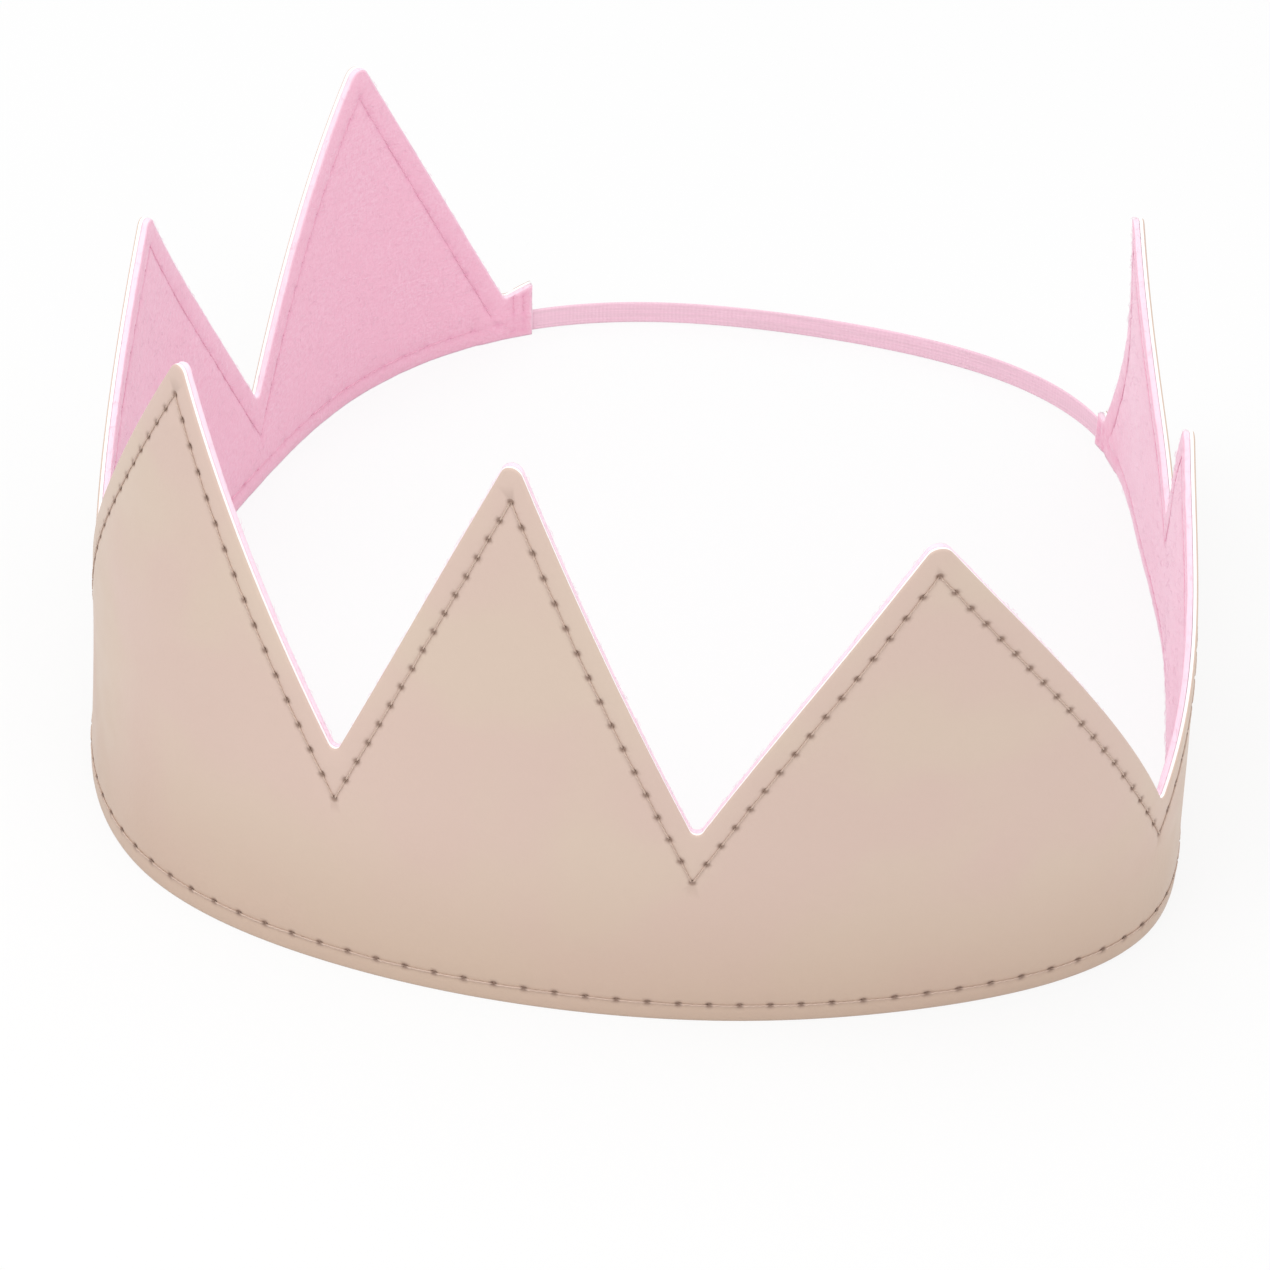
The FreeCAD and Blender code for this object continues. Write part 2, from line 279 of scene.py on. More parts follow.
@dataclass
class Seamwork:
    """Where the machine stitched: straight runs of the flat pattern, divided into equal stitches."""

    pattern: Pattern
    seam_inset: float = 3.0
    seam_stitch: float = 3.7
    hem_inset: float = 2.7
    hem_stitch: float = 4.1
    end_inset: float = 1.4
    second_inset: float = 3.0
    end_rise: float = 1.1

    def __post_init__(self) -> None:
        """Lay out every run and its holes."""
        self.runs: list[np.ndarray] = []
        zigzag = self.inset_tops()
        for here, there in zip(zigzag, zigzag[1:]):
            self.add(here, there, self.seam_stitch)
        shape = self.pattern
        hem_start = (shape.left + self.end_inset, self.hem_inset)
        hem_end = (shape.right - self.end_inset, self.hem_inset)
        self.add(hem_start, hem_end, self.hem_stitch)
        for end, tab, way in ((shape.left, shape.left_tab, 1), (shape.right, shape.right_tab, -1)):
            for inset in (self.end_inset, self.second_inset):
                along = end + way * inset
                self.add((along, self.end_rise), (along, tab - self.end_inset), self.seam_stitch)
        self.holes = np.vstack(self.runs)

    def add(self, start: Sequence[float], end: Sequence[float], stitch: float) -> None:
        """Add one run with its holes at equal distances."""
        start, end = np.array(start, float), np.array(end, float)
        count = max(1, round(float(np.linalg.norm(end - start)) / stitch))
        self.runs.append(start + (end - start) * np.linspace(0, 1, count + 1)[:, None])

    def inset_tops(self) -> list[np.ndarray]:
        """The corners of the zigzag seam: the outline's top moved down into the sheet."""
        places = [np.array(top[:2]) for top in self.pattern.tops]
        sides = []
        for here, there in zip(places, places[1:]):
            way = (there - here) / np.linalg.norm(there - here)
            sides.append((here + np.array([way[1], -way[0]]) * self.seam_inset, way))
        corners = []
        for (one, first), (two, second) in zip(sides, sides[1:]):
            cross = first[0] * second[1] - first[1] * second[0]
            gap = two - one
            corners.append(one + first * (gap[0] * second[1] - gap[1] * second[0]) / cross)
        return corners

    def gap(self, places: np.ndarray) -> np.ndarray:
        """Distance from each place to the nearest run."""
        starts = np.array([run[0] for run in self.runs])
        ends = np.array([run[-1] for run in self.runs])
        return nearest_side(places, starts, ends)

    def hole_gap(self, places: np.ndarray) -> np.ndarray:
        """Distance from each place to the nearest needle hole."""
        return nearest_point(places, self.holes)


def nearest_point(places: np.ndarray, among: np.ndarray) -> np.ndarray:
    """Distance from each place to the nearest of many points.

    Args:
        places: rows (along, up).
        among: the points, rows (along, up).

    Returns:
        One distance for each place.
    """
    tree = kdtree.KDTree(len(among))
    for index, point in enumerate(among):
        tree.insert((point[0], point[1], 0), index)
    tree.balance()
    return np.array([tree.find((place[0], place[1], 0))[2] for place in places])


def nearest_side(places: np.ndarray, starts: np.ndarray, ends: np.ndarray) -> np.ndarray:
    """Distance from each place to the nearest of many straight sides.

    Args:
        places: rows (along, up).
        starts: where the sides start.
        ends: where they end.

    Returns:
        One distance for each place.
    """
    sides = ends - starts
    lengths = np.maximum((sides**2).sum(axis=1), 1e-12)
    nearest = np.empty(len(places))
    block = 4000
    for first in range(0, len(places), block):
        part = places[first:first + block]
        to_part = part[:, None, :] - starts[None, :, :]
        share = np.clip((to_part * sides).sum(axis=2) / lengths, 0, 1)
        off = to_part - share[:, :, None] * sides
        nearest[first:first + block] = np.sqrt((off**2).sum(axis=2).min(axis=1))
    return nearest


def mottle(places: np.ndarray, size: float, seed: float) -> np.ndarray:
    """Smooth unevenness between -1 and 1 on the flat pattern, with lumps of one size in millimetres."""
    return np.array([noise.noise((place[0] / size, place[1] / size, seed)) for place in places])


# Meshes.

@dataclass(frozen=True)
class Grain:
    """How finely a sheet is divided: distances in millimetres."""

    edge: float
    rows: tuple[float, ...]
    seam_step: float
    seam_rows: tuple[float, ...]
    rings: tuple[tuple[float, int], ...]
    body: float


class FlatMesh:
    """The flat pattern cut into triangles, finest at its edge, its seams and its needle holes."""

    # How much room a new point needs: as a share of its row or lattice step, or in millimetres.
    ROW_SHARE = 0.6
    BODY_SHARE = 0.55
    HOLE_ROOM = 0.1
    RING_ROOM = 0.12
    SEAM_ROOM = 0.14
    EDGE_ROOM = 0.05

    def __init__(self, pattern: Pattern, seams: Seamwork, grain: Grain) -> None:
        """Place the points and join them.

        Args:
            pattern: the outline.
            seams: the stitching.
            grain: the distances between points.
        """
        edge = pattern.boundary(grain.edge)
        self.rim = len(edge)
        ahead = np.roll(edge, -1, axis=0) - np.roll(edge, 1, axis=0)
        level = np.stack([ahead[:, 1], -ahead[:, 0]], axis=1)
        self.rim_out = level / np.linalg.norm(ahead, axis=1)[:, None]
        self.kept = [edge]
        for row in grain.rows:
            self.keep(edge - self.rim_out * row, self.ROW_SHARE * row)
        holes = seams.holes
        self.keep(holes, self.HOLE_ROOM)
        for radius, count in grain.rings:
            turns = np.arange(count) * 2 * math.pi / count
            ring = np.stack([np.cos(turns), np.sin(turns)], axis=1) * radius
            self.keep((holes[:, None, :] + ring[None, :, :]).reshape(-1, 2), self.RING_ROOM)
        for run in seams.runs:
            way = run[-1] - run[0]
            length = float(np.linalg.norm(way))
            way /= length
            across = np.array([-way[1], way[0]])
            steps = np.linspace(0, length, max(2, round(length / grain.seam_step)))[:, None]
            for row in grain.seam_rows:
                self.keep(run[0] + way * steps + across * row, self.SEAM_ROOM)
        self.keep(self.lattice(edge, grain.body), self.BODY_SHARE * grain.body)
        points = np.vstack(self.kept)
        inside = self.inside(points[self.rim:], edge)
        points = np.vstack([edge, points[self.rim:][inside]])
        found = delaunay_2d_cdt([Vector(point) for point in points], [], [list(range(self.rim))], 1, 1e-6)
        order = {old[0]: new for new, old in enumerate(found[3]) if old}
        self.flat = np.array([tuple(place) for place in found[0]])
        self.edge = np.array([order[index] for index in range(self.rim)])
        self.faces = np.array([face for face in found[2] if len(face) == 3])
        self.edge_gap = nearest_side(self.flat, edge, np.roll(edge, -1, axis=0))
        self.seam_gap = seams.gap(self.flat)
        self.hole_gap = seams.hole_gap(self.flat)

    def keep(self, places: np.ndarray, room: float) -> None:
        """Keep those places that are not too close to any kept before."""
        self.kept.append(places[nearest_point(places, np.vstack(self.kept)) > room])

    @staticmethod
    def lattice(edge: np.ndarray, step: float) -> np.ndarray:
        """An even triangular lattice over the outline's box."""
        low, high = edge.min(axis=0), edge.max(axis=0)
        rise = step * math.sqrt(3) / 2
        rows = []
        for index, up in enumerate(np.arange(low[1] + rise, high[1], rise)):
            along = np.arange(low[0] + step * (0.5 + 0.5 * (index % 2)), high[0], step)
            rows.append(np.stack([along, np.full(len(along), up)], axis=1))
        return np.vstack(rows)

    @classmethod
    def inside(cls, places: np.ndarray, edge: np.ndarray) -> np.ndarray:
        """Whether each place lies within the outline, at least a little."""
        start, end = edge, np.roll(edge, -1, axis=0)
        crossings = np.zeros(len(places), int)
        for one, two in zip(start, end):
            if one[1] == two[1]:
                continue
            spans = (places[:, 1] >= min(one[1], two[1])) & (places[:, 1] < max(one[1], two[1]))
            at = one[0] + (places[:, 1] - one[1]) * (two[0] - one[0]) / (two[1] - one[1])
            crossings += spans & (places[:, 0] < at)
        return (crossings % 2 == 1) & (nearest_side(places, start, end) > cls.EDGE_ROOM)


def show(name: str, data: bpy.types.ID) -> bpy.types.Object:
    """A new object in the scene, at the origin, that holds some data."""
    piece = bpy.data.objects.new(name, data)
    bpy.context.scene.collection.objects.link(piece)
    return piece


def make_mesh(name: str, places: np.ndarray, faces: Iterable[Sequence[int]]) -> bpy.types.Object:
    """A smooth-shaded mesh object in the scene.

    Args:
        name: the piece's name.
        places: vertices in metres.
        faces: vertex numbers of each face.

    Returns:
        The object, at the origin.
    """
    mesh = bpy.data.meshes.new(name)
    corners = [tuple(map(float, place)) for place in places]
    mesh.from_pydata(corners, [], [tuple(map(int, face)) for face in faces])
    mesh.validate()
    mesh.shade_smooth()
    return show(name, mesh)


def paint(piece: bpy.types.Object, name: str, values: np.ndarray) -> None:
    """Store one number for each vertex."""
    layer = piece.data.attributes.new(name, "FLOAT", "POINT")
    layer.data.foreach_set("value", np.asarray(values, np.float32))


def unwrap(piece: bpy.types.Object, places: np.ndarray) -> None:
    """Store a UV map from one (along, up) pair for each vertex."""
    layer = piece.data.uv_layers.new(name="pattern")
    corners = np.empty(len(piece.data.loops), np.int32)
    piece.data.loops.foreach_get("vertex_index", corners)
    layer.data.foreach_set("uv", np.asarray(places, np.float32)[corners].ravel())


# Node graphs.

class Socket:
    """One output of a node, which can be used in a written sum."""

    def __init__(self, graph: "Graph", output: bpy.types.NodeSocket) -> None:
        """Wrap the output."""
        self.graph = graph
        self.output = output

    def math(self, operation: str, *others: object) -> "Socket":
        """This value and others through a Math node."""
        return self.graph.node("ShaderNodeMath", {"operation": operation}, dict(enumerate((self, *others))))

    def __add__(self, other: object) -> "Socket":
        """Sum."""
        return self.math("ADD", other)

    def __sub__(self, other: object) -> "Socket":
        """Difference."""
        return self.math("SUBTRACT", other)

    def __mul__(self, other: object) -> "Socket":
        """Product."""
        return self.math("MULTIPLY", other)

    def __rsub__(self, other: float) -> "Socket":
        """Difference from a number."""
        return self.graph.node("ShaderNodeMath", {"operation": "SUBTRACT"}, {0: other, 1: self})

    __radd__ = __add__
    __rmul__ = __mul__

    def beside(self, name: int | str) -> "Socket":
        """Another output of the same node."""
        return Socket(self.graph, self.output.node.outputs[name])

    def ramp(self, low: float, high: float, to_low: float = 0.0, to_high: float = 1.0) -> "Socket":
        """This value taken smoothly from one range to another, and held at its ends."""
        values = {"Value": self, "From Min": low, "From Max": high, "To Min": to_low, "To Max": to_high}
        return self.graph.node("ShaderNodeMapRange", {"interpolation_type": "SMOOTHSTEP"}, values)


class Graph:
    """A node tree that is filled from written values."""

    def __init__(self, tree: bpy.types.NodeTree) -> None:
        """Start with no nodes."""
        self.tree = tree
        tree.nodes.clear()

    def node(self, kind: str, settings: dict | None = None, values: dict | None = None,
             output: int | str = 0) -> Socket:
        """Add a node.

        Args:
            kind: the node's type.
            settings: its settings, set before its sockets.
            values: numbers, colours or links for its sockets.
            output: which output to give back.

        Returns:
            That output.
        """
        item = self.tree.nodes.new(kind)
        for name, value in (settings or {}).items():
            setattr(item, name, value)
        for name, value in (values or {}).items():
            if isinstance(value, Socket):
                self.tree.links.new(value.output, item.inputs[name])
            else:
                item.inputs[name].default_value = value
        return Socket(self, item.outputs[output]) if len(item.outputs) else Socket(self, None)

    def blend(self, share: object, one: object, two: object) -> Socket:
        """One colour turned into another."""
        return self.node("ShaderNodeMix", {"data_type": "RGBA"}, {0: share, 6: one, 7: two}, 2)

    def stored(self, name: str) -> Socket:
        """A number that the piece stores for each vertex."""
        return self.node("ShaderNodeAttribute", {"attribute_name": name}, None, "Fac")

    def pattern(self, across: float, up: float) -> Socket:
        """The flat pattern's coordinates, stretched."""
        flat = self.node("ShaderNodeUVMap", {"uv_map": "pattern"})
        return self.node("ShaderNodeVectorMath", {"operation": "MULTIPLY"}, {0: flat, 1: (across, up, 1.0)})

    def cloud(self, where: Socket, scale: float, detail: float = 2.0, rough: float = 0.5) -> Socket:
        """Soft noise from 0 to 1."""
        return self.node("ShaderNodeTexNoise", None,
                         {"Vector": where, "Scale": scale, "Detail": detail, "Roughness": rough}, "Fac")

    def named(self, name: str, kind: str = "FLOAT") -> Socket:
        """A value that the points of a geometry store."""
        return self.node("GeometryNodeInputNamedAttribute", {"data_type": kind}, {"Name": name})

    def random(self, low: object, high: object, seed: Socket) -> Socket:
        """A random number between two, one for each point."""
        return self.node("FunctionNodeRandomValue", {"data_type": "FLOAT"},
                         {2: low, 3: high, "Seed": seed}, 1)

    def surface(self, values: dict) -> None:
        """Add the surface, from the values of its sockets, and send it out."""
        surface = self.node("ShaderNodeBsdfPrincipled", None, values)
        self.node("ShaderNodeOutputMaterial", None, {"Surface": surface})

    def bumped(self, height: Socket, distance: float, strength: float) -> Socket:
        """A normal from a height, with its distance in millimetres."""
        return self.node("ShaderNodeBump", None,
                         {"Height": height, "Distance": distance * MM, "Strength": strength})


def shade(red: float, green: float, blue: float) -> tuple[float, float, float, float]:
    """A colour as seen on a screen, from 0 to 255, as the renderer's own."""
    def linear(part: float) -> float:
        part /= 255
        return part / 12.92 if part <= 0.04045 else ((part + 0.055) / 1.055) ** 2.4
    return linear(red), linear(green), linear(blue), 1.0


def new_material(name: str) -> tuple[bpy.types.Material, Graph]:
    """An empty material and its graph."""
    material = bpy.data.materials.new(name)
    material.use_nodes = True
    return material, Graph(material.node_tree)


@dataclass(frozen=True)
class LeatheretteFinish:
    """Satin beige leatherette with a fine grain, on a white backing that shows at the cut edge."""

    light: tuple[float, float, float] = (208, 187, 171)
    rosy: tuple[float, float, float] = (208, 183, 171)
    # Painted shade: the colour towards the foot, where the low wall gets less light.
    foot: tuple[float, float, float] = (194, 169, 150)
    # Painted shade inside the needle holes and along the seam lines.
    hole: tuple[float, float, float] = (156, 130, 116)
    backing: tuple[float, float, float] = (250, 248, 247)
    skin: float = 0.25

    def build(self) -> bpy.types.Material:
        """The material; it reads `layer`, the depth in millimetres, and a stored number for the painted shade
        in the needle holes and along the seams; it also paints shade towards the foot.
        """
        material, g = new_material("leatherette")
        flat = g.pattern(1.0, 1.0)
        patches = g.cloud(flat, 0.045, 1.5).ramp(0.38, 0.62)
        tint = g.blend(patches, shade(*self.light), shade(*self.rosy))
        up = g.node("ShaderNodeSeparateXYZ", None, {0: flat}, 1)
        # Painted shade: the colour darkens towards the foot, because less light reaches there.
        tint = g.blend(up.ramp(30.0, -6.0, 0.0, 0.9), tint, shade(*self.foot))
        speckle = g.cloud(flat, 1.6, 3.0).ramp(0.3, 0.7, 0.0, 0.10)
        tint = g.blend(speckle, tint, shade(204, 182, 166))
        # Painted shade: the needle holes and seam lines take the dark hole colour.
        stitch_shaded = g.blend(g.stored("stitch_shade"), tint, shade(*self.hole))
        cut = g.stored("layer").ramp(self.skin - 0.02, self.skin + 0.05)
        lint = g.cloud(flat, 5.0, 3.0).ramp(0.35, 0.75, 0.0, 0.22)
        backing = g.blend(lint, shade(*self.backing), shade(226, 221, 220))
        colour = g.blend(cut, stitch_shaded, backing)
        pebble = g.node("ShaderNodeTexVoronoi", {"feature": "SMOOTH_F1"},
                        {"Vector": flat, "Scale": 1.7, "Smoothness": 0.6}, "Distance")
        fine = g.cloud(flat, 4.5, 3.0)
        height = pebble * 0.7 + fine * 0.5 + g.cloud(flat, 0.35, 2.0) * 1.2
        gloss = g.cloud(flat, 0.12, 2.0).ramp(0.3, 0.7, 0.40, 0.50)
        g.surface({
            "Base Color": colour,
            "Roughness": gloss + cut * 0.4,
            "IOR": 1.47,
            "Normal": g.bumped(height, 0.035, 0.5),
        })
        return material


@dataclass(frozen=True)
class FeltFinish:
    """Matte pink felt: short tangled fibres, paler where it is cut."""

    pink: tuple[float, float, float] = (238, 187, 206)
    deep: tuple[float, float, float] = (233, 176, 198)
    pale: tuple[float, float, float] = (242, 203, 219)
    cut: tuple[float, float, float] = (246, 218, 231)

    def build(self) -> bpy.types.Material:
        """The material; it reads `layer`, 1 at a cut edge, and a stored number for the painted shade in its
        seams and needle holes, up to 1.
        """
        material, g = new_material("felt")
        flat = g.pattern(1.0, 1.0)
        tangle = g.cloud(g.pattern(1.0, 0.35), 3.2, 4.0, 0.6)
        across = g.cloud(g.pattern(0.35, 1.0), 3.0, 4.0, 0.6)
        fibres = (tangle + across) * 0.5
        tint = g.blend(fibres.ramp(0.36, 0.64), shade(*self.deep), shade(*self.pale))
        tint = g.blend(g.cloud(flat, 0.09, 2.0).ramp(0.3, 0.7, 0.35, 0.75), tint, shade(*self.pink))
        # Painted shade: a deeper pink where the felt is pressed into its seams and needle holes.
        tint = g.blend(g.stored("stitch_shade"), tint, shade(226, 158, 187))
        colour = g.blend(g.stored("layer"), tint, shade(*self.cut))
        height = fibres * 1.0 + g.cloud(flat, 0.8, 3.0) * 0.9
        g.surface({
            "Base Color": colour,
            "Roughness": 0.95,
            "IOR": 1.3,
            "Sheen Weight": 0.9,
            "Sheen Roughness": 0.35,
            "Sheen Tint": shade(255, 238, 247),
            "Normal": g.bumped(height, 0.25, 0.55),
        })
        return material


@dataclass(frozen=True)
class NapFinish:
    """The loose fibres that stand out of the felt."""

    pale: tuple[float, float, float] = (248, 222, 235)

    def build(self) -> bpy.types.Material:
        """The material, a little uneven from fibre to fibre."""
        material, g = new_material("felt_nap")
        where = g.node("ShaderNodeTexCoord", None, None, "Object")
        uneven = g.cloud(where, 900.0, 1.0).ramp(0.3, 0.7)
        g.surface({
            "Base Color": g.blend(uneven, shade(*self.pale), shade(238, 196, 216)),
            "Roughness": 0.9,
            "IOR": 1.3,
        })
        return material


@dataclass(frozen=True)
class ElasticFinish:
    """Woven elastic: pink warp ribs with greyish weft between them."""

    pink: tuple[float, float, float] = (239, 203, 218)
    grey: tuple[float, float, float] = (230, 197, 210)

    def build(self) -> bpy.types.Material:
        """The material; its pattern is millimetres along and across the elastic."""
        material, g = new_material("elastic")
        weft = g.node("ShaderNodeTexWave", {"wave_type": "BANDS", "bands_direction": "X"},
                      {"Vector": g.pattern(1.0, 1.0), "Scale": 0.55, "Distortion": 0.8, "Detail": 1.0,
                       "Detail Scale": 2.0}, "Fac")
        streaks = g.cloud(g.pattern(0.06, 3.0), 1.0, 3.0)
        tint = g.blend(streaks.ramp(0.35, 0.65), shade(*self.pink), shade(*self.grey))
        colour = g.blend(weft * 0.18, tint, shade(222, 182, 200))
        height = weft * 0.6 + g.cloud(g.pattern(1.0, 4.0), 2.0, 3.0) * 0.5
        g.surface({
            "Base Color": colour,
            "Roughness": 0.6,
            "Sheen Weight": 0.15,
            "Normal": g.bumped(height, 0.06, 0.6),
        })
        return material


@dataclass(frozen=True)
class ThreadFinish:
    """Two-ply sewing thread, with painted shade between its plies and where it goes down into the sheet."""

    name: str
    ply: tuple[float, float, float]
    shadow: tuple[float, float, float]
    sunk: tuple[float, float, float]

    def build(self) -> bpy.types.Material:
        """The material; its pattern runs once round the thread and once along each stitch."""
        material, g = new_material(self.name)
        flat = g.node("ShaderNodeUVMap", {"uv_map": "pattern"})
        parts = g.node("ShaderNodeSeparateXYZ", None, {0: flat})
        along = parts.beside(1)
        # Painted shade between the twisted plies: the shadow colour winds round the thread.
        twist = (parts * 12.566 + along * 26.0).math("SINE").ramp(-0.4, 0.9)
        tint = g.blend(twist, shade(*self.shadow), shade(*self.ply))
        # Painted shade: each stitch takes the dark sunk colour near its ends, where it goes down into the
        # holes.
        middle = (along - 0.5).math("ABSOLUTE").ramp(0.34, 0.47)
        g.surface({
            "Base Color": g.blend(middle, tint, shade(*self.sunk)),
            "Roughness": 0.55,
            "Normal": g.bumped(twist, 0.05, 0.6),
        })
        return material


# Repeats by geometry nodes.

class InputKind(Enum):
    """The kinds of named inputs that a geometry tree takes."""

    GEOMETRY = "NodeSocketGeometry"
    OBJECT = "NodeSocketObject"
    MATERIAL = "NodeSocketMaterial"
    NUMBER = "NodeSocketFloat"
    WHOLE = "NodeSocketInt"


class Repeater:
    """A geometry tree with named inputs, used once on a piece and baked."""

    def __init__(self, name: str) -> None:
        """Make the tree with its geometry coming in and going out."""
        self.tree = bpy.data.node_groups.new(name, "GeometryNodeTree")
        self.graph = Graph(self.tree)
        self.tree.interface.new_socket("Geometry", in_out="OUTPUT", socket_type=InputKind.GEOMETRY.value)
        self.tree.interface.new_socket("Geometry", in_out="INPUT", socket_type=InputKind.GEOMETRY.value)
        self.sockets: dict[str, str] = {}
        self.source = self.tree.nodes.new("NodeGroupInput")

    def ask(self, name: str, kind: InputKind) -> Socket:
        """Add a named input and give its socket."""
        item = self.tree.interface.new_socket(name, in_out="INPUT", socket_type=kind.value)
        self.sockets[name] = item.identifier
        return Socket(self.graph, self.source.outputs[name])

    def end(self, instances: Socket, material: Socket) -> None:
        """Realize the instances, dress them and send them out."""
        solid = self.graph.node("GeometryNodeRealizeInstances", None, {0: instances})
        dressed = self.graph.node("GeometryNodeSetMaterial", None,
                                  {"Geometry": solid, "Material": material})
        self.graph.node("NodeGroupOutput", None, {0: dressed})

    def bake(self, carrier: bpy.types.Object, name: str, values: dict[str, object]) -> bpy.types.Object:
        """Run the tree on a carrier and keep the result as a plain mesh.

        Args:
            carrier: the object whose mesh goes in; it is removed.
            name: the new piece's name.
            values: one value for each named input.

        Returns:
            The new piece.
        """
        modifier = carrier.modifiers.new(name, "NODES")
        modifier.node_group = self.tree
        for key, value in values.items():
            modifier[self.sockets[key]] = value
        graph = bpy.context.evaluated_depsgraph_get()
        graph.update()
        mesh = bpy.data.meshes.new_from_object(carrier.evaluated_get(graph), depsgraph=graph)
        mesh.name = name
        mesh.shade_smooth()
        carrier.modifiers.remove(modifier)
        bpy.data.objects.remove(carrier)
        return show(name, mesh)


# The pieces.

@dataclass
class Sheet:
    """What the two layers share: a triangulated pattern with a front, a back and a rim."""

    wall: Wall
    flat: FlatMesh

    def shell(self, name: str, front: np.ndarray, back: np.ndarray,
              rim: Sequence[tuple[float, float]], seed: float, ragged: float) -> bpy.types.Object:
        """Lay the sheet on the wall.

        Args:
            name: the piece's name.
            front: depth of the outer face at each vertex.
            back: depth of the inner face at each vertex.
            rim: for each row of the cut edge, its share of the thickness and how far it bulges.
            seed: where the edge's unevenness is read from.
            ragged: how uneven the cut edge is.

        Returns:
            The piece, with its UV map.
        """
        flat, edge = self.flat.flat, self.flat.edge
        count = len(flat)
        places = [self.wall.place(flat[:, 0], flat[:, 1], depth) for depth in (front, back)]
        patterns = [flat, flat]
        at_edge = flat[edge]
        for share, bulge in rim:
            uneven = mottle(at_edge, 0.9, seed + share * 3) * ragged
            row = at_edge + self.flat.rim_out * (bulge + uneven * math.sin(math.pi * share))[:, None]
            row[:, 1] = np.maximum(row[:, 1], 0.0)
            depth = front[edge] * (1 - share) + back[edge] * share
            places.append(self.wall.place(row[:, 0], row[:, 1], depth))
            patterns.append(row + self.flat.rim_out * share)
        rows = [edge] + [2 * count + len(edge) * index + np.arange(len(edge)) for index in range(len(rim))]
        rows.append(count + edge)
        faces = [tuple(face) for face in self.flat.faces]
        faces += [tuple(face[::-1]) for face in self.flat.faces + count]
        for here, there in zip(rows, rows[1:]):
            ahead_here, ahead_there = np.roll(here, -1), np.roll(there, -1)
            faces += list(zip(here, there, ahead_there, ahead_here))
        piece = make_mesh(name, np.vstack(places), faces)
        unwrap(piece, np.vstack(patterns))
        return piece


@dataclass
class LeatheretteStrip(Sheet):
    """The outer layer: grooved along its seams, pitted at the needle holes, creased at the tight bend."""

    thickness: float = 0.7
    groove: float = 0.03
    groove_width: float = 0.40
    pit: float = 0.14
    pit_radius: float = 0.50
    swell: float = 0.06
    roll: float = 0.14
    roll_width: float = 0.4
    crease: float = 0.30
    # Reach of the painted shade round each needle hole, then strength and width of the painted shade along the
    # seams.
    hole_shade_radius: float = 0.56
    seam_shade_strength: float = 0.10
    seam_shade_width: float = 0.3

    def relief(self) -> np.ndarray:
        """How far the face stands out at each vertex, in millimetres."""
        flat = self.flat
        height = -self.groove * np.exp(-((flat.seam_gap / self.groove_width) ** 2))
        height -= self.pit * np.exp(-((flat.hole_gap / self.pit_radius) ** 4))
        height += self.swell * np.exp(-(((flat.seam_gap - 1.0) / 0.5) ** 2))
        height -= self.roll * np.clip(1 - flat.edge_gap / self.roll_width, 0, 1) ** 2
        return height + self.creases()

    def creases(self) -> np.ndarray:
        """Fine upright wrinkles low on the tight bend at the front right."""
        along, up = self.flat.flat[:, 0], self.flat.flat[:, 1]
        bend = self.wall.mark["ef"]
        near = np.exp(-(((along - bend + 5) / 9.0) ** 2)) * np.exp(-(((up - 12) / 10.0) ** 2))
        uneven = mottle(np.stack([along * 3.2, up * 0.45], axis=1), 3.0, 4.7)
        return -self.crease * near * np.clip(uneven - 0.05, 0, 1)

    def build(self) -> bpy.types.Object:
        """Make the strip, dress it and give it to the crown."""
        flat = self.flat
        relief = self.relief()
        front = -relief
        back = np.full(len(front), self.thickness)
        rim = ((0.05, 0.02), (0.12, 0.02), (0.4, 0.04), (0.75, 0.04), (0.96, 0.0))
        piece = self.shell("leatherette_strip", front, back, rim, 1.3, 0.035)
        # Painted shade in the needle holes and along the seam lines, stored for the material.
        holes = np.exp(-((flat.hole_gap / self.hole_shade_radius) ** 6))
        seam = self.seam_shade_strength * np.exp(-((flat.seam_gap / self.seam_shade_width) ** 2))
        stitch_shade = np.maximum(holes, seam)
        edge_front = front[flat.edge]
        depth = np.concatenate([np.zeros(len(front)), back] + [
            edge_front * (1 - share) + self.thickness * share for share, _ in rim
        ])
        paint(piece, "layer", depth)
        paint(piece, "stitch_shade", np.concatenate([stitch_shade, np.zeros(len(depth) - len(stitch_shade))]))
        piece.data.materials.append(LeatheretteFinish().build())
        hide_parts("outer_shell")
        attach(piece, "root")
        return piece


